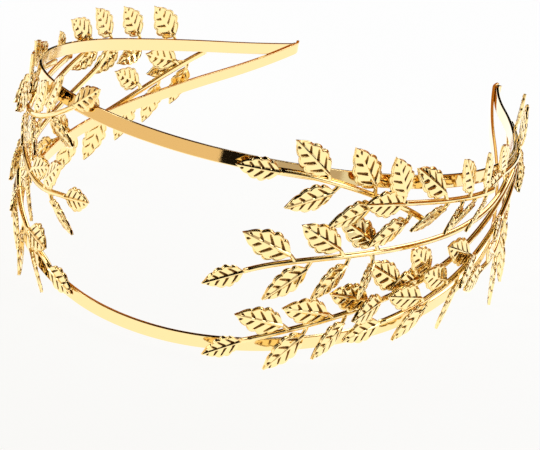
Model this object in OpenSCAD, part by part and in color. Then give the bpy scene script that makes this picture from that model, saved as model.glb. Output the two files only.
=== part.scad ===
/* [Strips] */
// Width of each flat strip
strip_w = 3; // [2:0.5:4]
// Thickness of each strip
strip_t = 0.8; // [0.6:0.1:1]
// Tilt of the upper strip's plane from the middle plane, in degrees
upper_tilt = 8.5; // [7:0.5:10]
// Tilt of the lower strip's plane from the middle plane, in degrees
lower_tilt = 7; // [6:0.5:9]
// How far each arm is sprung up or down from its mirror image, in degrees
arm_spring = 0.8; // [0:0.1:1]
// Length of the small outward flare at each end
flare_l = 2.5; // [1:0.5:4]

/* [Twigs] */
// Width of a twig's stem
stem_w = 1.5; // [1.2:0.1:1.8]
// Height of a twig's stem
stem_t = 1.1; // [0.8:0.1:1.2]
// Clearance between a twig and the strip that carries it
seat_gap = 0.25; // [0.2:0.05:0.3]
// Thickness of a leaf's pressed sheet at its edge
leaf_t = 0.5; // [0.4:0.1:0.6]
// Height of a leaf's midrib above its edge
rib_h = 0.45; // [0.2:0.05:0.6]
// Widest part of a leaf, for each unit of its length
leaf_aspect = 0.54; // [0.4:0.02:0.56]
// Length of a leaf's stalk
stalk_l = 2.2; // [1.6:0.2:3]
// Width of a leaf's stalk
stalk_w = 0.8; // [0.6:0.1:1]

/* [Hidden] */
RIGHT = 1;
LEFT = -1;

// One half of a strip from the crown to its end: arc length, bend radius (below 0 it bends outwards)
BEND = [[18, 40], [26, 60], [34, 68], [40, 91], [40, 300], [30, -222], [flare_l, -4]];
ARM = 6;
STRIP_STEP = 4;
FLARE_STEPS = 3;
CROWN_LAP = 0.2;
LAP_DEPTH = strip_t - 0.1;

// How the band lies by itself: turned about X, then about Y, then moved to the origin
REST_TURN = [0.9, 1.1, 0];
REST_MOVE = [-0.33, 76.43, 24.19];

// A twig's two tables, laid SEAT out from the strips' middle. Points of its stem, tip to root:
// distance along the strips from the crown, height (0 on the lower strip, 1 on the upper),
// how much further out it lies where it passes over another twig.
// Leaves: distance of the foot along the strips, rise above the line towards the crown,
// blade's length, lift off the surface; angles in degrees. The first leaf ends the stem.
SEAT = strip_t / 2 + seat_gap + stem_t / 2;
RIGHT_UPPER = [[[23, 0.99, 0], [39.5, 1.01, 0], [57, 0.82, 0], [60, 0.74, 0]],
               [[23, 5, 9.5, 6], [34, 40, 11.5, 7], [36.5, -17, 11.5, 9], [45, 52, 12, 6],
                [46, -19, 11.5, 9], [56, -22, 11.5, 6]]];
RIGHT_MIDDLE = [[[19.5, 0.43, 0], [38.5, 0.66, 0], [95, 0.48, 0], [99, 0.9, 0]],
                [[19.5, -23, 9, 8], [30, 22, 12, 2], [33.5, -36, 11.5, 10], [40.5, 29, 11.5, 2],
                 [42, -38, 11, 16], [49, 33, 11.5, -6], [47.5, -58, 8.5, 24]]];
RIGHT_LOWER = [[[21.5, 0.04, 0], [62, 0.33, 0], [72, 0.22, 0], [109, 0.91, 0]],
               [[21.5, -24, 8.5, 10], [31.5, 12, 11.5, 6], [35.5, -40, 11.5, 13], [41, 9, 11.5, 5],
                [44, -38, 11, 20], [50, 15, 11.5, 7], [53.5, -11, 11.5, 22], [58, 31, 11.5, -2],
                [66, -8, 11, 0], [66, 36, 11.5, 8]]];
RIGHT_SIDE = [[[52.5, 0.09, 0.8], [78.5, 0.19, 1.4], [103, 0.58, 1.2], [114, 0.92, 0]],
              [[52.5, -19, 10, 2], [64.5, 12, 11.5, 3], [66.5, -35, 11.5, 1], [72, 20, 11.5, 5],
               [76, -50, 11.5, 8], [81, 23, 11.5, -2], [83, -19, 11.5, 14], [96, -12, 9, 13]]];
RIGHT_CREST = [[[51.5, 0.89, 1.4], [66, 0.9, 1.4], [76, 0.88, 1.3], [84, 0.9, 1.4]],
               [[51.5, 6, 11.5, 9], [51.5, 58, 11.5, 11], [64.5, 36, 11.5, -5], [65.5, -20, 11, 2],
                [70.5, -27, 9, 15], [73, 51, 11.5, 7], [76, -19, 11.5, 5], [79.5, 60, 11, 9],
                [81, -26, 10.5, 8]]];
RIGHT_REAR_UPPER = [[[91, 0.97, 0], [110, 1.01, 0], [132, 1, 0], [150, 1, 0]],
                    [[91, -9, 9, 2], [93.5, 43, 10.5, 5], [115, 74, 11, 1], [120, -40, 9, 12],
                     [127, 66, 10, 2], [130, -26, 8, 12], [141, 64, 10, 2]]];
RIGHT_REAR_LOWER = [[[93, 0.02, 0], [112, -0.2, 0], [135, 0.05, 0], [153, 0.8, 0]],
                    [[93, -8, 11, 3], [103, 25, 10, 4], [108, -63, 11.5, 10], [116, 28, 10, 5],
                     [117, -78, 11.5, 13], [126.5, -82, 11.5, 11], [130.5, 26, 10.5, 4],
                     [136, -85, 11, 12], [144, 16, 11.5, 5], [146, -16, 10, 12], [147, -75, 10.5, 10]]];
LEFT_UPPER = [[[26, 1, 0], [34, 0.87, 0], [44, 0.76, 0], [60, 0.72, 0]],
              [[26, 42, 9.5, -1], [35.5, -5, 11.5, 2], [37.5, 59, 11, 4], [46, 50, 11.5, 4],
               [47, -17, 11.5, 8], [56, -14, 11.5, 8]]];
LEFT_MIDDLE = [[[24, 0.5, 0], [34.5, 0.46, 0], [39.5, 0.26, 0], [97, 0.9, 0]],
               [[24, 16, 9.5, 8], [31, -19, 11, 0], [33.5, 43, 11, 8], [43, 24, 10, -2],
                [45, -38, 11, 3], [57, -34, 9.5, 14]]];
LEFT_LOWER = [[[26, 0.06, 0], [29, 0.14, 0], [57, 0.03, 0], [105, 0.91, 0]],
              [[26, -11, 9.5, 0], [36, -43, 10.5, 0], [39, 3, 11, 3], [42, -42, 11, 12],
               [53, -8, 10, 14], [62, 20, 10.5, -9], [70, 28, 11, -13]]];
LEFT_SIDE = [[[53.5, 0.07, 0], [73.5, 0.14, 0], [114, 0.41, 0], [114, 0.92, 0]],
             [[53.5, -46, 10, -3], [66, 12, 10.5, -15], [68.5, -34, 11, -2], [74.5, 20, 11.5, -12],
              [79, -48, 11.5, 2], [84, 20, 11, -9], [85, -19, 11.5, 8], [97, 12, 9, 6]]];
LEFT_CREST = [[[62, 0.87, 0], [70, 0.87, 0], [78, 0.86, 0], [88, 0.88, 0]],
              [[62, 7, 11, 2], [66, 40, 11, 3], [67, -15, 11, 9], [77, 45, 10.5, 3],
               [79, -22, 11, 13], [80, 42, 10, 0]]];
LEFT_REAR_UPPER = [[[92, 0.97, 0], [110, 1.01, 0], [132, 1, 0], [150, 1, 0]],
                   [[92, 60, 6.5, 3], [107.5, 34, 11, 5], [112, -28, 9, 12], [115.5, 48, 11, 3],
                    [120, -40, 9, 12], [127, 50, 11, 4], [130, -26, 8, 12], [141, 46, 12.5, 4]]];
LEFT_REAR_LOWER = [[[93, 0.02, 0], [112, -0.2, 0], [135, 0.05, 0], [153, 0.8, 0]],
                   [[93, -8, 11, 3], [103, 25, 10, 4], [107, -65, 11, 12], [116, 28, 10, 5],
                    [117, -78, 11.5, 13], [127.5, -78, 11, 11], [130.5, 26, 10.5, 4],
                    [137, -80, 11, 12], [144, 16, 11.5, 5], [146, -16, 10, 12], [147, -75, 10.5, 10]]];

// Half of a leaf's toothed edge: distance along the blade, half width for each unit of the widest
TEETH = [[0, 0.24], [0.18, 0.8], [0.27, 0.7], [0.42, 1], [0.62, 0.8], [0.8, 0.5], [1, 0.05]];
RIB_EVERY = 3;
LEAF_CURL = 0.06;

// Roll about the midrib of leaves above and below their stem, and how it varies, in degrees
ROLL_ABOVE = 4;
ROLL_BELOW = -18;
ROLL_SWAY = 8;
STALK_TURN = 22;
STALK_LAP = 0.25;
STEM_STEPS = 10;
GOLD = [0.86, 0.66, 0.3];

// Plan position and heading [x, y, heading] at distance s along a strip; the crown faces -Y
function plan(s, i = 0, at = [0, 0, 0]) =
    let (l = i < len(BEND) - 1 ? min(s, BEND[i][0]) : s,
         r = BEND[i][1],
         turn = l / r * 180 / PI,
         next = [at.x + r * (sin(at.z + turn) - sin(at.z)),
                 at.y - r * (cos(at.z + turn) - cos(at.z)),
                 at.z + turn])
    s > l ? plan(s - l, i + 1, next) : next;
function length_to(n) = n == 0 ? 0 : BEND[n - 1][0] + length_to(n - 1);
DEPTH = plan(length_to(ARM)).y;

// A strip's plane tilts about the line through the ends, and each arm springs about the crown
function tilted(p, tilt, side) =
    let (spring = side * arm_spring,
         y = p.y * cos(spring) - DEPTH,
         n = p.y * sin(spring))
    [side * p.x, y * cos(tilt) + n * sin(tilt), n * cos(tilt) - y * sin(tilt)];

// A point of the surface that the two strips span, and that surface's own directions
function outward(s, side) = let (a = plan(s).z) [side * sin(a), -cos(a), 0];
function span(s, h, side, out = 0) =
    tilted(plan(s), -lower_tilt, side) * (1 - h)
    + tilted(plan(s), upper_tilt, side) * h
    + outward(s, side) * out;
function unit(v) = v / norm(v);
function crownward(s, side) = let (a = plan(s).z) [-side * cos(a), -sin(a), 0];
function rising(s, rise, side) = crownward(s, side) * cos(rise) + [0, 0, sin(rise)];

// A point on a stem's curve, drawn by four points, at t from its tip (0) to its root (1)
function curve(p, t) =
    p[0] * pow(1 - t, 3) + p[1] * 3 * t * pow(1 - t, 2) + p[2] * 3 * t * t * (1 - t) + p[3] * pow(t, 3);
function stem_point(p, t, side) = let (q = curve(p, t)) span(q[0], q[1], side, SEAT + q[2]);
// The t at which the stem is at distance s from the crown, found by halving
function stem_t_at(p, s, low = 0, high = 1, n = 12) =
    let (mid = (low + high) / 2)
    n == 0 ? mid
    : curve(p, mid)[0] < s ? stem_t_at(p, s, mid, high, n - 1) : stem_t_at(p, s, low, mid, n - 1);

// Draws children with their x, y and z axes along a, b and c, at p
module placed(p, a, b, c) {
    multmatrix([[a.x, b.x, c.x, p.x], [a.y, b.y, c.y, p.y], [a.z, b.z, c.z, p.z], [0, 0, 0, 1]])
        children();
}

module at_rest() {
    translate(REST_MOVE)
        rotate(REST_TURN)
            children();
}

// Distances at which a strip's bends are set out, closer round the flare
STATIONS = [
    for (i = [0 : ARM])
        let (n = i == ARM ? FLARE_STEPS : ceil(BEND[i][0] / STRIP_STEP))
        for (k = [0 : n - 1]) length_to(i) + k * BEND[i][0] / n,
    length_to(ARM + 1)];
function beside(s, off) = let (a = plan(s)) [a.x - off * sin(a.z), a.y + off * cos(a.z)];

// Half a strip along its bends, inset by the lap, with the flare at the end
module half_strip(inset) {
    linear_extrude(strip_w, center = true)
        polygon(concat(
            [[-CROWN_LAP, inset - strip_t / 2]],
            [for (s = STATIONS) beside(s, inset - strip_t / 2)],
            [for (i = [len(STATIONS) - 1 : -1 : 0]) beside(STATIONS[i], inset + strip_t / 2)],
            [[-CROWN_LAP, inset + strip_t / 2]]));
}

module strip(tilt, inset) {
    rotate([-tilt, 0, 0])
        translate([0, -DEPTH, 0]) {
            rotate([arm_spring, 0, 0])
                half_strip(inset);
            mirror([1, 0, 0])
                rotate([-arm_spring, 0, 0])
                    half_strip(inset);
        }
}

// Two flat spring strips whose ends are lapped and soldered together
module double_band() {
    color(GOLD)
        at_rest() {
            strip(upper_tilt, 0);
            strip(-lower_tilt, LAP_DEPTH);
        }
}

// One pressed leaf along +X with its rib up: toothed edge, ridged top and a back that follows it
module leaf(l) {
    n = len(TEETH) - 1;
    w = l * leaf_aspect / 2;
    ribs = floor(n / RIB_EVERY);
    function sag(u) = -LEAF_CURL * l * u * u;
    function edge(i, side, z) = [TEETH[i][0] * l, side * TEETH[i][1] * w, sag(TEETH[i][0]) + z];
    top_left = [for (i = [0 : n]) edge(i, 1, leaf_t / 2)];
    top_right = [for (i = [0 : n]) edge(i, -1, leaf_t / 2)];
    low_left = [for (i = [0 : n]) edge(i, 1, -leaf_t / 2)];
    low_right = [for (i = [0 : n]) edge(i, -1, -leaf_t / 2)];
    rib = [for (k = [0 : ribs])
           let (u = TEETH[k * RIB_EVERY][0])
           [u * l, 0, sag(u) + leaf_t / 2 + rib_h * (k == ribs ? 0.2 : 1)]];
    tl = 0;
    tr = n + 1;
    ll = 2 * (n + 1);
    lr = 3 * (n + 1);
    rb = 4 * (n + 1);
    faces = [
        for (i = [0 : n - 1]) let (k = floor(i / RIB_EVERY)) each [
            [tl + i, tl + i + 1, rb + k],
            [tr + i + 1, tr + i, rb + k],
            [tl + i + 1, tl + i, ll + i],
            [tl + i + 1, ll + i, ll + i + 1],
            [tr + i, tr + i + 1, lr + i],
            [tr + i + 1, lr + i + 1, lr + i],
            [ll + i + 1, ll + i, lr + i],
            [ll + i + 1, lr + i, lr + i + 1]],
        for (k = [1 : ribs]) let (i = k * RIB_EVERY) each [
            [tl + i, rb + k, rb + k - 1],
            [tr + i, rb + k - 1, rb + k]],
        [tl, rb, tr], [tl, tr, lr], [tl, lr, ll],
        [tl + n, tr + n, rb + ribs], [tl + n, lr + n, tr + n], [tl + n, ll + n, lr + n]];
    polyhedron(concat(top_left, top_right, low_left, low_right, rib), faces);
}

// A leaf's own line, at a rise above the crownward line and lifted off the surface
function leaf_line(s, rise, lift, side) = rising(s, rise, side) * cos(lift) + outward(s, side) * sin(lift);

// How a stem rises above the crownward line at t
function stem_rise(p, t, side) =
    let (d = stem_point(p, max(t - 0.02, 0), side) - stem_point(p, min(t + 0.02, 1), side))
    atan2(d.z, d * crownward(curve(p, t)[0], side));

// A leaf on a stalk that leaves the stem more steeply; the first leaf ends the stem and has none
module stalked_leaf(p, row, i, side) {
    s = row[0];
    rise = row[1];
    lift = row[3];
    t = stem_t_at(p, s);
    foot = stem_point(p, t, side);
    above = rise > stem_rise(p, t, side);
    roll = i == 0 ? 0 : side * ((above ? ROLL_ABOVE : ROLL_BELOW) + ROLL_SWAY * sin(222.5 * i));
    stalk = i == 0 ? 0 : stalk_l;
    a = leaf_line(s, rise, lift, side);
    u = leaf_line(s, rise + (above ? STALK_TURN : -STALK_TURN), lift, side);
    across = unit(cross(outward(s, side), a));
    up = cross(a, across);
    b = across * cos(roll) + up * sin(roll);
    c = up * cos(roll) - across * sin(roll);
    v = unit(cross(outward(s, side), u));
    placed(foot + u * stalk, a, b, c)
        leaf(row[2]);
    hull() {
        placed(foot, u, v, cross(u, v))
            stalk_end(1);
        placed(foot + u * stalk + a * STALK_LAP, a, b, c)
            stalk_end(-1);
    }
}

// A small three-sided point, along +X or back along it
module stalk_end(way) {
    rotate([0, way * 90, 0])
        rotate(way > 0 ? 180 : 0)
            cylinder(h = 0.1, r1 = stalk_w / 2, r2 = 0, $fn = 3);
}

// A flat-backed stem along its curve, narrower towards the tip
module stem(p, side) {
    section = [[-stem_w / 2, -stem_t / 2], [-stem_w / 2, 0], [0, stem_t / 2],
               [stem_w / 2, 0], [stem_w / 2, -stem_t / 2]];
    m = len(section);
    points = [
        for (j = [0 : STEM_STEPS])
            let (t = j / STEM_STEPS,
                 here = stem_point(p, t, side),
                 along = unit(stem_point(p, t + 0.01, side) - stem_point(p, t - 0.01, side)),
                 n = outward(curve(p, t)[0], side),
                 across = unit(cross(n, along)),
                 up = cross(along, across),
                 taper = 0.75 + 0.25 * t)
            for (q = section) here + across * q.x * taper + up * q.y];
    sides = [
        for (j = [0 : STEM_STEPS - 1])
            for (k = [0 : m - 1])
                let (a = j * m + k, b = j * m + (k + 1) % m)
                each [[a, b, b + m], [a, b + m, a + m]]];
    polyhedron(points, concat([[for (k = [m - 1 : -1 : 0]) k]], sides,
                              [[for (k = [0 : m - 1]) STEM_STEPS * m + k]]));
}

// A stamped twig: stem and leaves in one piece
module twig(tables, side) {
    leaves = tables[1];
    color(GOLD)
        at_rest() {
            stem(tables[0], side);
            for (i = [0 : len(leaves) - 1])
                stalked_leaf(tables[0], leaves[i], i, side);
        }
}

double_band();
twig(RIGHT_UPPER, RIGHT);  // right_upper_twig
twig(RIGHT_MIDDLE, RIGHT);  // right_middle_twig
twig(RIGHT_LOWER, RIGHT);  // right_lower_twig
twig(RIGHT_SIDE, RIGHT);  // right_side_twig
twig(RIGHT_CREST, RIGHT);  // right_crest_twig
twig(RIGHT_REAR_UPPER, RIGHT);  // right_rear_upper_twig
twig(RIGHT_REAR_LOWER, RIGHT);  // right_rear_lower_twig
twig(LEFT_UPPER, LEFT);  // left_upper_twig
twig(LEFT_MIDDLE, LEFT);  // left_middle_twig
twig(LEFT_LOWER, LEFT);  // left_lower_twig
twig(LEFT_SIDE, LEFT);  // left_side_twig
twig(LEFT_CREST, LEFT);  // left_crest_twig
twig(LEFT_REAR_UPPER, LEFT);  // left_rear_upper_twig
twig(LEFT_REAR_LOWER, LEFT);  // left_rear_lower_twig
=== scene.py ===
"""Gilt leaf headband: two flat spring strips that carry fourteen stamped sprays of leaves."""
import math
import bpy
import numpy as np
from mathutils import Matrix, Vector


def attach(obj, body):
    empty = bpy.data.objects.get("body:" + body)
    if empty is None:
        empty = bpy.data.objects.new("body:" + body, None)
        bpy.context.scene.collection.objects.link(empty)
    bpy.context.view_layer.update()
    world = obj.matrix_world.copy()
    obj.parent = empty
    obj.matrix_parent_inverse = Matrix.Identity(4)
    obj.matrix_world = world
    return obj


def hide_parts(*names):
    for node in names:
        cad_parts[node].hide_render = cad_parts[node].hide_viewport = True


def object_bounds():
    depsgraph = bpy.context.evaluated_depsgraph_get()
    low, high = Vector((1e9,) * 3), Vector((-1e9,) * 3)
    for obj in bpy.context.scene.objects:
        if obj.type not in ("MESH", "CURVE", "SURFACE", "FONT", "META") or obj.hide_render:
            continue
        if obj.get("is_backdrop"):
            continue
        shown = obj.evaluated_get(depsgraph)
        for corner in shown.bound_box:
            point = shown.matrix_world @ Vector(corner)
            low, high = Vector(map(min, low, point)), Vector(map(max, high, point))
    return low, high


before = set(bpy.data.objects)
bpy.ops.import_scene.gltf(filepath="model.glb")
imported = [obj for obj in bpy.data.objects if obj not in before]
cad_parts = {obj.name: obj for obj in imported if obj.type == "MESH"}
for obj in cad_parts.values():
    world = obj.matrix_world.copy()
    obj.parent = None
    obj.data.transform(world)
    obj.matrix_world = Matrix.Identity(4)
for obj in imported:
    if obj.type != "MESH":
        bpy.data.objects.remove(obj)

cad_box = [list(corner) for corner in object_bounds()]

# The two strips are rolled spring brass, 3 x 0.8 mm, gilt and drawn through a polishing
# belt, so fine lines run lengthwise. They lie flat against each other at the ends, where
# they are soldered and turn outwards in a small flare.
MM = 0.001
STRIP_W, STRIP_T, ROUNDING = 3.0, 0.8, 0.14
LAP_DEPTH = STRIP_T - 0.1
# One arm's bends from the crown to the end: length and radius in mm, minus for outwards.
BEND = ((18, 40), (26, 60), (34, 68), (40, 91), (40, 300), (30, -222), (2.5, -4))
HALF_SPAN = sum(length for length, radius in BEND)
# Degrees: the strips' tilts about the line through the ends, and how far each arm springs
# off its plane, which it does within SPRING_EASE mm of the crown.
UPPER_TILT, LOWER_TILT, ARM_SPRING = 8.5, -7.0, 0.8
SPRING_EASE = 12
# Sections stand 1.25 mm apart, and closer in the last 5 mm of an arm, for the flare. Past the
# end the section shrinks to CUT_SIZE, which softens the cut edge.
SECTION_STEP, END_L, END_SECTIONS = 1.25, 5, 22
CUT_L, CUT_SIZE = 0.1, 0.78
# Two lines beside each rounding, this far in on the thin and the broad face, keep the faces
# flat in smooth shading.
HOLD_THIN, HOLD_BROAD = 0.06, 0.12
# How the headband lies: turned about X and Y in degrees and moved in mm, so that the lowest
# leaves in front and at the rear, right and left, meet the table within 0.3 mm.
REST_TURN = (0.9, 1.1)
REST_MOVE = (-0.33, 76.43, 24.19)
REST = (Matrix.Translation(Vector(REST_MOVE) * MM)
        @ Matrix.Rotation(math.radians(REST_TURN[1]), 4, "Y")
        @ Matrix.Rotation(math.radians(REST_TURN[0]), 4, "X"))


def at_rest(points):
    """Points in metres where they lie, from mm about the middle of the line through the ends."""
    turn = np.array(REST.to_3x3())
    return np.asarray(points, float) @ turn.T * MM + np.array(REST.translation)


def plan(s):
    """Where a strip is, and its heading in radians, at s mm from the crown in its own plane."""
    x = y = heading = 0.0
    for i, (length, radius) in enumerate(BEND):
        part = s if i == len(BEND) - 1 else min(s, length)
        turned = heading + part / radius
        x += radius * (math.sin(turned) - math.sin(heading))
        y -= radius * (math.cos(turned) - math.cos(heading))
        heading = turned
        s -= part
        if s <= 0:
            break
    return x, y, heading


DEPTH = plan(HALF_SPAN - BEND[-1][0])[1]


def tilted(x, y, z, tilt, side, spring=ARM_SPRING):
    """A point of a strip's own plane, tilted about the line through the ends."""
    tilt, spring = math.radians(tilt), math.radians(spring) * side
    back = y * math.cos(spring) - z * math.sin(spring) - DEPTH
    rise = y * math.sin(spring) + z * math.cos(spring)
    return np.array((side * x, back * math.cos(tilt) + rise * math.sin(tilt),
                     rise * math.cos(tilt) - back * math.sin(tilt)))


def strip_section():
    """Offsets of a strip's section (inwards, upwards), with rounded edges."""
    ring = []
    for k, (i, j) in enumerate(((1, 1), (-1, 1), (-1, -1), (1, -1))):
        corner = np.array((i * (STRIP_T / 2 - ROUNDING), j * (STRIP_W / 2 - ROUNDING)))
        turns = [math.radians(k * 90 + degrees) for degrees in (0, 30, 60, 90)]
        arc = [corner + ROUNDING * np.array((math.cos(turn), math.sin(turn))) for turn in turns]
        holds = ((0, HOLD_BROAD * j), (HOLD_THIN * i, 0))
        ring += [arc[0] - holds[k % 2], *arc, arc[-1] - holds[1 - k % 2]]
    return np.array(ring)


def bar_faces(sections, corners):
    """Faces of a bar: quads between its sections of so many corners, and a cap at each end."""
    faces = []
    for j in range(sections - 1):
        here, there = j * corners, (j + 1) * corners
        for i in range(corners):
            following = (i + 1) % corners
            faces.append((here + i, here + following, there + following, there + i))
    last = (sections - 1) * corners
    return faces + [tuple(reversed(range(corners))), tuple(range(last, last + corners))]


def strip(tilt, inset):
    """Points, faces and (along, round) coordinates in mm of one strip."""
    section = strip_section()
    count = len(section)
    sides = [np.linalg.norm(section[(i + 1) % count] - section[i]) for i in range(count)]
    girth = np.cumsum([0] + sides)
    places = list(np.arange(0, HALF_SPAN - END_L, SECTION_STEP))
    places += list(np.linspace(HALF_SPAN - END_L, HALF_SPAN, END_SECTIONS))
    rows = [(-s, 1.0) for s in reversed(places[1:])] + [(s, 1.0) for s in places]
    rows = [(-HALF_SPAN - CUT_L, CUT_SIZE)] + rows + [(HALF_SPAN + CUT_L, CUT_SIZE)]
    points, uv = [], []
    for s, size in rows:
        side = 1 if s >= 0 else -1
        x, y, heading = plan(abs(s))
        spring = ARM_SPRING * min(1, abs(s) / SPRING_EASE)
        for i, (inwards, z) in enumerate(section * (size, 1 - (1 - size) * STRIP_T / STRIP_W)):
            inwards += inset
            across = x - inwards * math.sin(heading)
            back = y + inwards * math.cos(heading)
            points.append(tilted(across, back, z, tilt, side, spring))
            uv.append((s, girth[i]))
    return np.array(points), bar_faces(len(rows), count), uv


def linear(code):
    """An sRGB hex colour as linear RGBA."""
    parts = [int(code[i:i + 2], 16) / 255 for i in (1, 3, 5)]
    return [c / 12.92 if c <= 0.04045 else ((c + 0.055) / 1.055) ** 2.4 for c in parts] + [1]


def add(tree, kind, links=None, **settings):
    """A node with its settings; links maps an input to a number, a colour, a node, which
    stands for its first output, or an output."""
    node = tree.nodes.new("ShaderNode" + kind)
    for name, value in settings.items():
        setattr(node, name, value)
    for name, value in (links or {}).items():
        if isinstance(value, bpy.types.Node):
            value = value.outputs[0]
        if isinstance(value, bpy.types.NodeSocket):
            tree.links.new(value, node.inputs[name])
        else:
            node.inputs[name].default_value = value
    return node


def blank(name):
    """A new material without nodes, and its tree."""
    material = bpy.data.materials.new(name)
    material.use_nodes = True
    material.node_tree.nodes.clear()
    return material, material.node_tree


def piece(name, points, faces, material):
    """A smooth mesh object from points in metres."""
    mesh = bpy.data.meshes.new(name)
    mesh.from_pydata(points.tolist(), [], faces)
    mesh.materials.append(material)
    mesh.shade_smooth()
    obj = bpy.data.objects.new(name, mesh)
    bpy.context.collection.objects.link(obj)
    return obj


# Gilt spring brass, belt polished: a pale gold mirror, a little streaked along the strip by
# the belt and faintly wavy from the rolls. A belt's line is about 0.02 mm wide, and is drawn
# 0.07 mm wide and 8 mm long here, so that it shows. The waves are about 4 mm long.
LINE_L, LINE_W, LINE_DEPTH = 25 / 3, 1 / 14, 0.01
WAVE_L, WAVE_W, WAVE_DEPTH = 4, 10 / 3, 0.1
strip_gold, tree = blank("brushed_gold_strip")
uv = add(tree, "UVMap", uv_map="lengthwise")
belt = add(tree, "Mapping", {"Vector": uv, "Scale": (1 / LINE_L, 1 / LINE_W, 1)})
lines = add(tree, "TexNoise", {"Vector": belt, "Scale": 1.0, "Detail": 4, "Roughness": 0.6})
blur = add(tree, "MapRange", {"Value": lines, "To Min": 0.03, "To Max": 0.07})
rolls = add(tree, "Mapping", {"Vector": uv, "Scale": (1 / WAVE_L, 1 / WAVE_W, 1)})
waves = add(tree, "TexNoise", {"Vector": rolls, "Scale": 1.0, "Detail": 1})
wavy = add(tree, "Bump", {"Height": waves, "Strength": 0.12, "Distance": WAVE_DEPTH * MM})
streaked = add(tree, "Bump", {"Height": lines, "Strength": 0.25, "Distance": LINE_DEPTH * MM,
                              "Normal": wavy})
skin = add(tree, "BsdfPrincipled", {"Base Color": linear("#f3d89c"), "Metallic": 1.0,
                                    "Roughness": blur, "Normal": streaked})
add(tree, "OutputMaterial", {"Surface": skin})

upper, upper_faces, upper_uv = strip(UPPER_TILT, 0)
lower, lower_faces, lower_uv = strip(LOWER_TILT, LAP_DEPTH)
count = len(upper)
strips = piece("gilt_strips", at_rest(np.vstack((upper, lower))),
               upper_faces + [tuple(v + count for v in face) for face in lower_faces], strip_gold)
layer = strips.data.uv_layers.new(name="lengthwise")
spread = upper_uv + lower_uv
for loop in strips.data.loops:
    layer.data[loop.index].uv = spread[loop.vertex_index]
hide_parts("double_band")
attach(strips, "root")

# Each spray is stamped and pierced from one brass sheet, then gilt and polished: a half-round
# stem, stalks that leave it steeply, and leaves with a lobed edge, a raised midrib, pressed
# side veins and a flat bright margin. It is soldered to the outer faces of the strips.
STEM_W, STEM_T, STEM_TIP, STEM_SECTIONS = 1.5, 1.1, 0.75, 49
# A spray stands SEAT_GAP mm off the strips, which is the room that its solder takes.
SEAT_GAP = 0.25
SEAT = STRIP_T / 2 + SEAT_GAP + STEM_T / 2
# A stalk leaves its stem STALK_TURN degrees steeper than its leaf lies, and is wider by
# FORK_W where it joins, over FORK_SHARE of its run.
STALK_L, STALK_W, STALK_T, STALK_TURN, STALK_SECTIONS = 2.2, 0.85, 0.62, 22, 10
FORK_W, FORK_T, FORK_SHARE = 0.5, STEM_T * 0.9, 0.45
# Mm that set a stalk's curve: how far it starts towards the stem's tip, how far it holds its
# steep line and the leaf's line, and how far it runs under the leaf.
FORK_AHEAD, HOLD_STEEP, HOLD_LEAF, UNDER_LEAF = 0.4, 1.2, 0.5, 0.7
# Degrees of roll about the midrib, above and below the stem, and how it varies leaf by leaf.
ROLL_ABOVE, ROLL_BELOW, ROLL_SWAY, SWAY_TURN = 4, -18, 8, 222.5
# A stem's direction is taken over this share of its run on each side of a place, and a place
# on it is found by this many halvings.
NEARBY, HALVINGS = 0.02, 24

# The leaf that the others are scaled from, in mm. ASPECT and CURL are its width and the drop
# of its tip for each mm of length. The relief stands on its two faces.
LEAF_L, ASPECT, LEAF_T, CURL = 11.0, 0.57, 0.5, 0.06
FACE_TOP, FACE_BACK = LEAF_T / 2 - 0.04, -LEAF_T / 2 - 0.05
# Powers that set the outline: under 1, BELLY brings the widest place nearer the foot, and
# FULLNESS fills the leaf out towards both ends.
BELLY, FULLNESS = 0.78, 0.9
# The least half width in mm, on the foot's half of the leaf and on the tip's.
LEAST_FOOT, LEAST_TIP = 0.32, 0.04
# Rows of the leaf's mesh, columns from its middle to RIM_FROM, and the columns beyond that.
ROWS, COLUMNS, RIM_FROM, RIM_COLUMNS = 60, 11, 0.8, (0.85, 0.89, 0.93, 0.97, 1.0)
# Lobes start, follow each other and end at these shares of the length, and are LOBE_DEPTH of
# the half width deep. Powers lean a lobe towards the tip and round it between sharp notches.
LOBE_START, LOBE_STEP, LOBE_END, LOBE_DEPTH = 0.03, 0.22, 0.91, 0.2
LOBE_LEAN, LOBE_ROUND = 1.2, 0.55
# Side veins are grooves 2.5 mm apart, which lean forward by 1 mm for each mm outwards.
GROOVE_STEP, GROOVE_START, GROOVE_LEAN, GROOVE_DEPTH = 2.5, 1.4, 1.0, 0.2
# A groove's half width at the midrib, what it loses towards the edge, and the ease of its
# wall, in shares of that step.
GROOVE_HALF, GROOVE_TAPER, GROOVE_EASE = 0.21, 0.12, 0.13
# A groove starts RIB_CLEAR mm from the leaf's middle and ends at a share of the half width.
RIB_CLEAR, RIB_EASE, GROOVE_END, END_EASE = 0.3, 0.2, 0.78, 0.14
# The midrib's height and half width in mm, and the share of its height lost by the tip.
RIB_HEIGHT, RIB_HALF, RIB_FADE = 0.34, 0.3, 0.55
# The flat margin takes the last RIM of the half width, rounded off by RIM_DROP mm at the
# edge; the field inside it stands FIELD_HEIGHT mm proud.
RIM, RIM_DROP, FIELD_HEIGHT, FIELD_EASE = 0.1, 0.26, 0.1, 0.08
FIELD_END = 1 - RIM
# Added to the mm along a leaf on its back, which tells the material which side it is on.
BEHIND = 100

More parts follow.
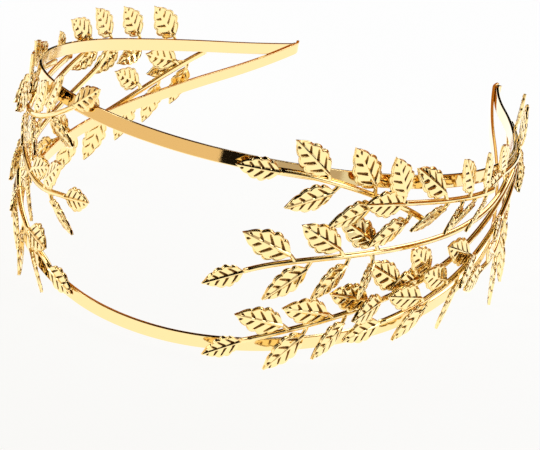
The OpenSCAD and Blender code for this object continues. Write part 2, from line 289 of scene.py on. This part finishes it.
# A spray: its stem's four points from tip to root (mm from the crown, height between the
# strips from 0 to 1, mm further out where it lies over another spray), then its leaves (mm
# from the crown to the foot, degrees of rise above the line to the crown, mm of blade,
# degrees of lift off the strips).
SPRAYS = {
    ("right", "upper"): (((23, 0.99, 0), (39.5, 1.01, 0), (57, 0.82, 0), (60, 0.74, 0)),
        ((23, 5, 9.5, 6), (34, 40, 11.5, 7), (36.5, -17, 11.5, 9), (45, 52, 12, 6), (46, -19, 11.5, 9),
         (56, -22, 11.5, 6))),
    ("right", "middle"): (((19.5, 0.43, 0), (38.5, 0.66, 0), (95, 0.48, 0), (99, 0.9, 0)),
        ((19.5, -23, 9, 8), (30, 22, 12, 2), (33.5, -36, 11.5, 10), (40.5, 29, 11.5, 2),
         (42, -38, 11, 16), (49, 33, 11.5, -6), (47.5, -58, 8.5, 24))),
    ("right", "lower"): (((21.5, 0.04, 0), (62, 0.33, 0), (72, 0.22, 0), (109, 0.91, 0)),
        ((21.5, -24, 8.5, 10), (31.5, 12, 11.5, 6), (35.5, -40, 11.5, 13), (41, 9, 11.5, 5),
         (44, -38, 11, 20), (50, 15, 11.5, 7), (53.5, -11, 11.5, 22), (58, 31, 11.5, -2),
         (66, -8, 11, 0), (66, 36, 11.5, 8))),
    ("right", "side"): (((52.5, 0.09, 0.8), (78.5, 0.19, 1.4), (103, 0.58, 1.2), (114, 0.92, 0)),
        ((52.5, -19, 10, 2), (64.5, 12, 11.5, 3), (66.5, -35, 11.5, 1), (72, 20, 11.5, 5),
         (76, -50, 11.5, 8), (81, 23, 11.5, -2), (83, -19, 11.5, 14), (96, -12, 9, 13))),
    ("right", "crest"): (((51.5, 0.89, 1.4), (66, 0.9, 1.4), (76, 0.88, 1.3), (84, 0.9, 1.4)),
        ((51.5, 6, 11.5, 9), (51.5, 58, 11.5, 11), (64.5, 36, 11.5, -5), (65.5, -20, 11, 2),
         (70.5, -27, 9, 15), (73, 51, 11.5, 7), (76, -19, 11.5, 5), (79.5, 60, 11, 9),
         (81, -26, 10.5, 8))),
    ("right", "rear_upper"): (((91, 0.97, 0), (110, 1.01, 0), (132, 1, 0), (150, 1, 0)),
        ((91, -9, 9, 2), (93.5, 43, 10.5, 5), (115, 74, 11, 1), (120, -40, 9, 12), (127, 66, 10, 2),
         (130, -26, 8, 12), (141, 64, 10, 2))),
    ("right", "rear_lower"): (((93, 0.02, 0), (112, -0.2, 0), (135, 0.05, 0), (153, 0.8, 0)),
        ((93, -8, 11, 3), (103, 25, 10, 4), (108, -63, 11.5, 10), (116, 28, 10, 5),
         (117, -78, 11.5, 13), (126.5, -82, 11.5, 11), (130.5, 26, 10.5, 4), (136, -85, 11, 12),
         (144, 16, 11.5, 5), (146, -16, 10, 12), (147, -75, 10.5, 10))),
    ("left", "upper"): (((26, 1, 0), (34, 0.87, 0), (44, 0.76, 0), (60, 0.72, 0)),
        ((26, 42, 9.5, -1), (35.5, -5, 11.5, 2), (37.5, 59, 11, 4), (46, 50, 11.5, 4),
         (47, -17, 11.5, 8), (56, -14, 11.5, 8))),
    ("left", "middle"): (((24, 0.5, 0), (34.5, 0.46, 0), (39.5, 0.26, 0), (97, 0.9, 0)),
        ((24, 16, 9.5, 8), (31, -19, 11, 0), (33.5, 43, 11, 8), (43, 24, 10, -2), (45, -38, 11, 3),
         (57, -34, 9.5, 14))),
    ("left", "lower"): (((26, 0.06, 0), (29, 0.14, 0), (57, 0.03, 0), (105, 0.91, 0)),
        ((26, -11, 9.5, 0), (36, -43, 10.5, 0), (39, 3, 11, 3), (42, -42, 11, 12), (53, -8, 10, 14),
         (62, 20, 10.5, -9), (70, 28, 11, -13))),
    ("left", "side"): (((53.5, 0.07, 0), (73.5, 0.14, 0), (114, 0.41, 0), (114, 0.92, 0)),
        ((53.5, -46, 10, -3), (66, 12, 10.5, -15), (68.5, -34, 11, -2), (74.5, 20, 11.5, -12),
         (79, -48, 11.5, 2), (84, 20, 11, -9), (85, -19, 11.5, 8), (97, 12, 9, 6))),
    ("left", "crest"): (((62, 0.87, 0), (70, 0.87, 0), (78, 0.86, 0), (88, 0.88, 0)),
        ((62, 7, 11, 2), (66, 40, 11, 3), (67, -15, 11, 9), (77, 45, 10.5, 3), (79, -22, 11, 13),
         (80, 42, 10, 0))),
    ("left", "rear_upper"): (((92, 0.97, 0), (110, 1.01, 0), (132, 1, 0), (150, 1, 0)),
        ((92, 60, 6.5, 3), (107.5, 34, 11, 5), (112, -28, 9, 12), (115.5, 48, 11, 3), (120, -40, 9, 12),
         (127, 50, 11, 4), (130, -26, 8, 12), (141, 46, 12.5, 4))),
    ("left", "rear_lower"): (((93, 0.02, 0), (112, -0.2, 0), (135, 0.05, 0), (153, 0.8, 0)),
        ((93, -8, 11, 3), (103, 25, 10, 4), (107, -65, 11, 12), (116, 28, 10, 5), (117, -78, 11.5, 13),
         (127.5, -78, 11, 11), (130.5, 26, 10.5, 4), (137, -80, 11, 12), (144, 16, 11.5, 5),
         (146, -16, 10, 12), (147, -75, 10.5, 10))),
}


def unit(v):
    """A vector's direction."""
    return v / np.linalg.norm(v)


def smooth(x):
    """0 up to 0, 1 from 1, and a soft S between."""
    x = np.clip(x, 0, 1)
    return x * x * (3 - 2 * x)


def outward(s, side):
    """The level direction away from the head, s mm from the crown."""
    heading = plan(s)[2]
    return np.array((side * math.sin(heading), -math.cos(heading), 0))


def crownward(s, side):
    """The level direction along the strips to the crown."""
    heading = plan(s)[2]
    return np.array((-side * math.cos(heading), -math.sin(heading), 0))


def span(s, h, side, out):
    """A point of the surface between the strips, out mm proud of it."""
    x, y, heading = plan(s)
    low, high = tilted(x, y, 0, LOWER_TILT, side), tilted(x, y, 0, UPPER_TILT, side)
    return low * (1 - h) + high * h + outward(s, side) * out


def curve(p, t):
    """A point of the curve that four points set, from t 0 to 1; a stem's tip is at 0."""
    weights = np.array(((1 - t) ** 3, 3 * t * (1 - t) ** 2, 3 * t * t * (1 - t), t ** 3))
    return weights @ np.array(p, float)


def stem_point(stem, t, side):
    """The middle of a stem at the share t of its run, seated on the strips."""
    s, h, over = curve(stem, t)
    return span(s, h, side, SEAT + over)


def stem_t_at(stem, s):
    """The share of a stem's run at s mm from the crown, by halving."""
    low, high = 0.0, 1.0
    for _ in range(HALVINGS):
        middle = (low + high) / 2
        low, high = (middle, high) if curve(stem, middle)[0] < s else (low, middle)
    return low


def leaf_line(s, rise, lift, side):
    """The direction of a leaf that rises above the line to the crown and lifts off the strips."""
    rise, lift = math.radians(rise), math.radians(lift)
    along = crownward(s, side) * math.cos(rise) + np.array((0, 0, math.sin(rise)))
    return along * math.cos(lift) + outward(s, side) * math.sin(lift)


def leaf_sheet():
    """The leaf along +X: points, faces and places. A place is the mm along (BEHIND more on the
    back), the mm across and the share of the half width."""
    u = np.linspace(0, 1, ROWS + 1)
    swell = np.sin(math.pi * u ** BELLY) ** FULLNESS
    lobe = ((u - LOBE_START) / LOBE_STEP) % 1
    lobed = np.sin(math.pi * lobe ** LOBE_LEAN) ** LOBE_ROUND * (u > LOBE_START) * (u < LOBE_END)
    half = LEAF_L * ASPECT / 2 * swell * (1 - LOBE_DEPTH + LOBE_DEPTH * lobed)
    half = np.maximum(half, np.where(u < 0.5, LEAST_FOOT, LEAST_TIP))
    v = np.concatenate((np.linspace(0, RIM_FROM, COLUMNS), RIM_COLUMNS))
    v = np.concatenate((-v[:0:-1], v))
    x = np.repeat(u * LEAF_L, len(v)).reshape(len(u), len(v))
    y = half[:, None] * v[None, :]
    width = np.abs(v)[None, :] + 0 * x
    beside = np.abs(y)
    off = np.abs(((x - GROOVE_LEAN * beside - GROOVE_START) / GROOVE_STEP + 0.5) % 1 - 0.5)
    grooves = (smooth((GROOVE_HALF - off - GROOVE_TAPER * width) / GROOVE_EASE)
               * smooth((beside - RIB_CLEAR) / RIB_EASE)
               * smooth((GROOVE_END - width) / END_EASE))
    rib = np.exp(-(y / RIB_HALF) ** 2) * (1 - RIB_FADE * u[:, None])
    field = smooth((FIELD_END - width) / FIELD_EASE)
    relief = RIB_HEIGHT * rib - GROOVE_DEPTH * grooves + FIELD_HEIGHT * field
    sag = -CURL * LEAF_L * u[:, None] ** 2
    top = FACE_TOP + relief - RIM_DROP * (np.maximum(width - FIELD_END, 0) / RIM) ** 2 + sag
    # The back has every second column of the top, and both edges.
    keep = sorted(set(range(0, len(v), 2)) | {0, len(v) - 1})
    back = (FACE_BACK + relief + sag)[:, keep]
    points = np.concatenate((np.dstack((x, y, top)).reshape(-1, 3),
                             np.dstack((x[:, keep], y[:, keep], back)).reshape(-1, 3)))
    places = np.concatenate((np.dstack((x, y, width)).reshape(-1, 3),
                             np.dstack((x + BEHIND, y, width))[:, keep].reshape(-1, 3)))
    return points, leaf_faces(len(v), len(keep)), places


def leaf_faces(n, m):
    """Faces of a leaf with rows of n points on top, and then rows of m points on the back."""
    base = (ROWS + 1) * n
    top_rows = [(i * n, (i + 1) * n) for i in range(ROWS)]
    back_rows = [(base + i * m, base + (i + 1) * m) for i in range(ROWS)]
    faces = [(here + j, there + j, there + j + 1, here + j + 1)
             for here, there in top_rows for j in range(n - 1)]
    faces += [(here + j, here + j + 1, there + j + 1, there + j)
              for here, there in back_rows for j in range(m - 1)]
    for (top, next_top), (back, next_back) in zip(top_rows, back_rows):
        faces.append((top, back, next_back, next_top))
        faces.append((top + n - 1, next_top + n - 1, next_back + m - 1, back + m - 1))
    foot_back, tip_top, tip_back = base, ROWS * n, base + ROWS * m
    faces.append(tuple(range(n)) + tuple(reversed(range(foot_back, foot_back + m))))
    faces.append(tuple(reversed(range(tip_top, tip_top + n))) + tuple(range(tip_back, tip_back + m)))
    return faces


LEAF = leaf_sheet()
# Half of a bar's flat back with its rounded corner, in shares of the bar's width and height.
BACK_CORNER = ((-0.33, -0.5), (-0.46, -0.4), (-0.5, -0.18))


def bar(line, ups, widths, heights):
    """Points, faces and places of a half-round bar along a line; ups point away from its back."""
    turns = [math.radians(degrees) for degrees in (22, 45, 68, 90, 112, 135, 158)]
    section = [*BACK_CORNER, *((-0.5 * math.cos(turn), 0.5 * math.sin(turn)) for turn in turns),
               *((-x, y) for x, y in reversed(BACK_CORNER))]
    points = []
    for i, (centre, up, w, h) in enumerate(zip(line, ups, widths, heights)):
        along = unit(line[min(i + 1, len(line) - 1)] - line[max(i - 1, 0)])
        across = unit(np.cross(up, along))
        proud = np.cross(along, across)
        points += [centre + across * (x * w) + proud * (y * h) for x, y in section]
    faces = bar_faces(len(line), len(section))
    return np.array(points), faces, np.tile((0.0, 0, 1), (len(points), 1))


def leaf_and_stalk(stem, i, leaf, side):
    """A spray's leaf i and its stalk, which the leaf at the stem's tip doesn't have."""
    s, rise, length, lift = leaf
    t = stem_t_at(stem, s)
    foot = stem_point(stem, t, side)
    run = stem_point(stem, max(t - NEARBY, 0), side) - stem_point(stem, min(t + NEARBY, 1), side)
    above = rise > math.degrees(math.atan2(run[2], run @ crownward(s, side)))
    sway = ROLL_SWAY * math.sin(math.radians(SWAY_TURN * i))
    roll = side * math.radians((ROLL_ABOVE if above else ROLL_BELOW) + sway) if i else 0
    along = leaf_line(s, rise, lift, side)
    steep = leaf_line(s, rise + (STALK_TURN if above else -STALK_TURN), lift, side)
    flat = unit(np.cross(outward(s, side), along))
    normal = np.cross(along, flat)
    across = flat * math.cos(roll) + normal * math.sin(roll)
    up = normal * math.cos(roll) - flat * math.sin(roll)
    start = foot + steep * (STALK_L if i else 0)
    grow = length / LEAF_L
    points, faces, places = LEAF
    blade = (start + points * (grow, grow, 1) @ np.array((along, across, up)), faces, places)
    if not i:
        return [blade]
    ends = np.array((foot + unit(run) * FORK_AHEAD, foot + steep * HOLD_STEEP,
                     start - along * HOLD_LEAF, start + along * UNDER_LEAF))
    steps = np.linspace(0, 1, STALK_SECTIONS)
    line = [curve(ends, step) for step in steps]
    widths = STALK_W + FORK_W * (1 - smooth(steps / FORK_SHARE))
    heights = np.linspace(FORK_T, STALK_T, STALK_SECTIONS)
    return [blade, bar(line, [normal] * STALK_SECTIONS, widths, heights)]


def spray(stem, leaves, side):
    """Points, faces and places on the leaf of one spray, before it is laid at rest."""
    ts = np.linspace(0, 1, STEM_SECTIONS)
    line = [stem_point(stem, t, side) for t in ts]
    ups = [outward(curve(stem, t)[0], side) for t in ts]
    widths = STEM_W * (STEM_TIP + (1 - STEM_TIP) * ts)
    parts = [bar(line, ups, widths, np.full(STEM_SECTIONS, STEM_T))]
    for i, leaf in enumerate(leaves):
        parts += leaf_and_stalk(stem, i, leaf, side)
    points, faces, places, base = [], [], [], 0
    for part_points, part_faces, part_places in parts:
        points.append(part_points)
        faces += [tuple(v + base for v in face) for face in part_faces]
        places.append(part_places)
        base += len(part_points)
    return np.vstack(points), faces, np.vstack(places)


# Gilt brass out of a polished die: a deep gold mirror with soft dents, about 1.1 mm across.
# The floors of the grooves are tinted dark brown as painted shade, one fine dark stroke a vein.
# The grooves are the mesh's own, drawn sharper. Depths, widths and the stroke's ease are in mm,
# ends and edges in shares of the half width, and floors in shares of a groove step.
STROKE_DEPTH, STROKE_EASE, STROKE_END = 0.48, 0.15, GROOVE_END - 0.02
FIELD_DEPTH, FIELD_EDGE, EDGE_EASE = 0.2, FIELD_END + 0.01, 0.07
FLOOR_HALF, FLOOR_EASE = 0.15, 0.08
DENT_W, DENT_DEPTH = 10 / 9, 0.04
leaf_gold, tree = blank("polished_gold_leaf")
on_leaf = add(tree, "Attribute", attribute_name="leaf_place")
place = add(tree, "SeparateXYZ", {"Vector": on_leaf.outputs["Vector"]})
back = add(tree, "Math", {0: place.outputs["X"], 1: BEHIND / 2}, operation="GREATER_THAN")
along = add(tree, "Math", {0: back, 1: -BEHIND, 2: place.outputs["X"]}, operation="MULTIPLY_ADD")
facing = add(tree, "Math", {0: back, 1: -2.0, 2: 1.0}, operation="MULTIPLY_ADD")
beside = add(tree, "Math", {0: place.outputs["Y"]}, operation="ABSOLUTE")
slant = add(tree, "Math", {0: beside, 1: -GROOVE_LEAN, 2: along}, operation="MULTIPLY_ADD")
steps = add(tree, "Math", {0: slant, 1: 1 / GROOVE_STEP, 2: 0.5 - GROOVE_START / GROOVE_STEP},
            operation="MULTIPLY_ADD")
share = add(tree, "Math", {0: steps}, operation="FRACT")
middle = add(tree, "Math", {0: share, 1: 0.5}, operation="SUBTRACT")
apart = add(tree, "Math", {0: middle}, operation="ABSOLUTE")
off = add(tree, "Math", {0: place.outputs["Z"], 1: GROOVE_TAPER, 2: apart}, operation="MULTIPLY_ADD")
wall = add(tree, "MapRange", {"Value": off, "From Min": GROOVE_HALF,
                              "From Max": GROOVE_HALF - GROOVE_EASE}, interpolation_type="SMOOTHSTEP")
start = add(tree, "MapRange", {"Value": beside, "From Min": RIB_CLEAR,
                               "From Max": RIB_CLEAR + STROKE_EASE}, interpolation_type="SMOOTHSTEP")
end = add(tree, "MapRange", {"Value": place.outputs["Z"], "From Min": STROKE_END,
                             "From Max": STROKE_END - END_EASE}, interpolation_type="SMOOTHSTEP")
begun = add(tree, "Math", {0: wall, 1: start}, operation="MULTIPLY")
grooves = add(tree, "Math", {0: begun, 1: end}, operation="MULTIPLY")
field = add(tree, "MapRange", {"Value": place.outputs["Z"], "From Min": FIELD_EDGE,
                               "From Max": FIELD_EDGE - EDGE_EASE, "To Max": FIELD_DEPTH},
            interpolation_type="SMOOTHSTEP")
height = add(tree, "Math", {0: grooves, 1: -STROKE_DEPTH, 2: field}, operation="MULTIPLY_ADD")
seen = add(tree, "Math", {0: height, 1: facing}, operation="MULTIPLY")
pressed = add(tree, "Bump", {"Height": seen, "Strength": 1.0, "Distance": MM})
at = add(tree, "TexCoord")
dents = add(tree, "TexNoise", {"Vector": at.outputs["Object"], "Scale": 1 / (DENT_W * MM), "Detail": 2})
dented = add(tree, "Bump", {"Height": dents, "Strength": 0.15, "Distance": DENT_DEPTH * MM,
                            "Normal": pressed})
floor = add(tree, "MapRange", {"Value": off, "From Min": FLOOR_HALF,
                               "From Max": FLOOR_HALF - FLOOR_EASE}, interpolation_type="SMOOTHSTEP")
# Painted shade: the floors of the grooves are tinted dark brown.
brown = add(tree, "Math", {0: floor, 1: grooves}, operation="MULTIPLY")
shaded_gold = add(tree, "Mix", {"Factor": brown, "A": linear("#f7dea0"), "B": linear("#5e3c16")}, data_type="RGBA")
skin = add(tree, "BsdfPrincipled", {"Base Color": shaded_gold.outputs["Result"], "Metallic": 1.0,
                                    "Roughness": 0.04, "Normal": dented})
add(tree, "OutputMaterial", {"Surface": skin})

for (hand, name), (stem, leaves) in SPRAYS.items():
    points, faces, places = spray(stem, leaves, 1 if hand == "right" else -1)
    made = piece(f"{hand}_{name}_spray", at_rest(points), faces, leaf_gold)
    leaf_place = made.data.attributes.new("leaf_place", "FLOAT_VECTOR", "POINT")
    leaf_place.data.foreach_set("vector", places.ravel())
    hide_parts(f"{hand}_{name}_twig")
    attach(made, "root")

# The table is a matt white sweep, lit until it is almost blank. It is drawn as a glow with a
# little plain card in it, which takes the soft shadows. The metal mirrors it brighter than
# the camera sees it, from a sheet of light just above it that only reflections show.
TABLE_HALF, TABLE_GLOW, CARD_SHARE = 4.0, 1.03, 0.06
SHINE_GLOW, SHINE_LIFT = 1.24, 0.1
FADE_NEAR, FADE_FAR = -0.2, 0.1
corners = np.array(((-1, -1, 0), (1, -1, 0), (1, 1, 0), (-1, 1, 0))) * TABLE_HALF
pale_table, tree = blank("pale_table")
at = add(tree, "TexCoord")
place = add(tree, "SeparateXYZ", {"Vector": at.outputs["Object"]})
# Painted shade: the glow is a little dimmer towards the front.
depth = add(tree, "MapRange", {"Value": place.outputs["Y"], "From Min": FADE_NEAR, "From Max": FADE_FAR})
fade = add(tree, "ValToRGB", {"Fac": depth})
fade.color_ramp.elements[0].color = linear("#faf9f6")
fade.color_ramp.elements[1].color = linear("#ffffff")
glow = add(tree, "Emission", {"Color": fade, "Strength": TABLE_GLOW})
card = add(tree, "BsdfDiffuse", {"Color": linear("#d8d8d8")})
blend = add(tree, "MixShader", {0: CARD_SHARE, 1: glow, 2: card})
add(tree, "OutputMaterial", {"Surface": blend})
table = piece("table", corners, [(0, 1, 2, 3)], pale_table)
table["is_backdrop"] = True

table_light, tree = blank("table_shine")
glow = add(tree, "Emission", {"Color": linear("#ffffff"), "Strength": SHINE_GLOW})
add(tree, "OutputMaterial", {"Surface": glow})
shine = piece("table_shine", corners + (0, 0, SHINE_LIFT * MM), [(0, 1, 2, 3)], table_light)
shine.visible_camera = shine.visible_shadow = shine.visible_diffuse = False
shine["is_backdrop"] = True

# Cards that glow evenly and stand for lit paper: the polished metal mirrors them, but they cast
# no shadow and light no matt surface: a low wall in front, warm, black, grey, taupe and pale,
# which the camera looks over, and a high brown one at the right and behind. The backdrop is the
# only one that the camera sees, and no metal mirrors it.
CARD_Y, CARD_POINTS = -0.03, 25
# Name, first and last azimuth in degrees from the front towards the right, then the radius,
# lowest and highest point in metres, and the colour.
CARDS = (("warm_card", -100, 12, 0.2, 0, 0.07, "#f5dcba"), ("black_card", 12, 27, 0.2, 0, 0.08, "#1a1613"),
         ("grey_card", 27, 38, 0.2, 0, 0.07, "#ece8e6"), ("taupe_card", 38, 64, 0.2, 0, 0.07, "#c8bbae"),
         ("pale_card", 64, 78, 0.2, 0, 0.06, "#eef0f2"), ("brown_card", 90, 240, 1.0, 0.2, 0.85, "#b57022"),
         ("backdrop", 0, 360, 3.9, -0.1, 3, "#ffffff"))
for name, first, last, radius, low, high, colour in CARDS:
    paper, tree = blank(name)
    glow = add(tree, "Emission", {"Color": linear(colour), "Strength": 1.0})
    add(tree, "OutputMaterial", {"Surface": glow})
    azimuths = np.radians(np.linspace(first, last, CARD_POINTS))
    ring = np.stack((radius * np.sin(azimuths), CARD_Y - radius * np.cos(azimuths)), 1)
    points = np.array([(x, y, z) for z in (low, high) for x, y in ring])
    faces = [(i, i + 1, i + 1 + CARD_POINTS, i + CARD_POINTS) for i in range(CARD_POINTS - 1)]
    card = piece(name, points, faces, paper)
    card.visible_shadow = card.visible_diffuse = False
    card.visible_camera = name == "backdrop"
    card.visible_glossy = name != "backdrop"
    card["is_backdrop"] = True

# Three soft boxes, square cloth lamps at the left, the right and behind, in a dim warm room.
# Name, azimuth and height in degrees, distance and side in metres, and radiance.
SOFT_BOXES = (("left_box", -75, 35, 1.1, 0.55, 3.2), ("right_box", 85, 28, 1.2, 0.6, 3.2),
              ("rear_box", 175, 40, 1.2, 0.7, 3.2))
for name, azimuth, height, distance, size, radiance in SOFT_BOXES:
    azimuth, height = math.radians(azimuth), math.radians(height)
    way = Vector((math.sin(azimuth) * math.cos(height), -math.cos(azimuth) * math.cos(height),
                  math.sin(height)))
    box = bpy.data.lights.new(name, "AREA")
    box.size, box.energy = size, radiance * math.pi * size * size
    lamp = bpy.data.objects.new(name, box)
    lamp.location = way * distance
    lamp.rotation_mode = "QUATERNION"
    lamp.rotation_quaternion = way.to_track_quat("Z", "Y")
    lamp.visible_camera = False
    bpy.context.collection.objects.link(lamp)

room = bpy.data.worlds.new("studio")
room.use_nodes = True
room.node_tree.nodes.clear()
glow = add(room.node_tree, "Background", {"Color": linear("#0e0a06"), "Strength": 1.0})
add(room.node_tree, "OutputWorld", {"Surface": glow})
bpy.context.scene.world = room

# The camera is a long lens in front, a little to the right and above, turned slightly about
# its own axis. It points at AIM, in mm before the headband is laid at rest, and is then moved
# to the left and down without turning.
AZIMUTH, ELEVATION, ROLL = (math.radians(degrees) for degrees in (17.74, 21.94, 10.78))
AIM, DISTANCE, RIGHTWARD, UPWARD = (0, -60, 0), 574.9, -10.5, -23.6
LENS, SENSOR_W = 157.76, 36
look = Vector((-math.sin(AZIMUTH) * math.cos(ELEVATION),
               math.cos(AZIMUTH) * math.cos(ELEVATION), -math.sin(ELEVATION)))
level = Vector((math.cos(AZIMUTH), math.sin(AZIMUTH), 0))
upright = level.cross(look)
right = level * math.cos(ROLL) + upright * math.sin(ROLL)
up = upright * math.cos(ROLL) - level * math.sin(ROLL)
eye = Vector(AIM) + right * RIGHTWARD + up * UPWARD - look * DISTANCE
axes = Matrix((right, up, -look)).transposed().to_4x4()
lens = bpy.data.cameras.new("camera")
lens.lens, lens.sensor_width = LENS, SENSOR_W
lens.clip_start, lens.clip_end = 0.01, 20
camera = bpy.data.objects.new("camera", lens)
camera.matrix_world = REST @ Matrix.Translation(eye * MM) @ axes
bpy.context.collection.objects.link(camera)
bpy.context.scene.camera = camera
bpy.context.scene.view_settings.view_transform = "Standard"

size = {"cad": cad_box, "scene": [list(corner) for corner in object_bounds()]}
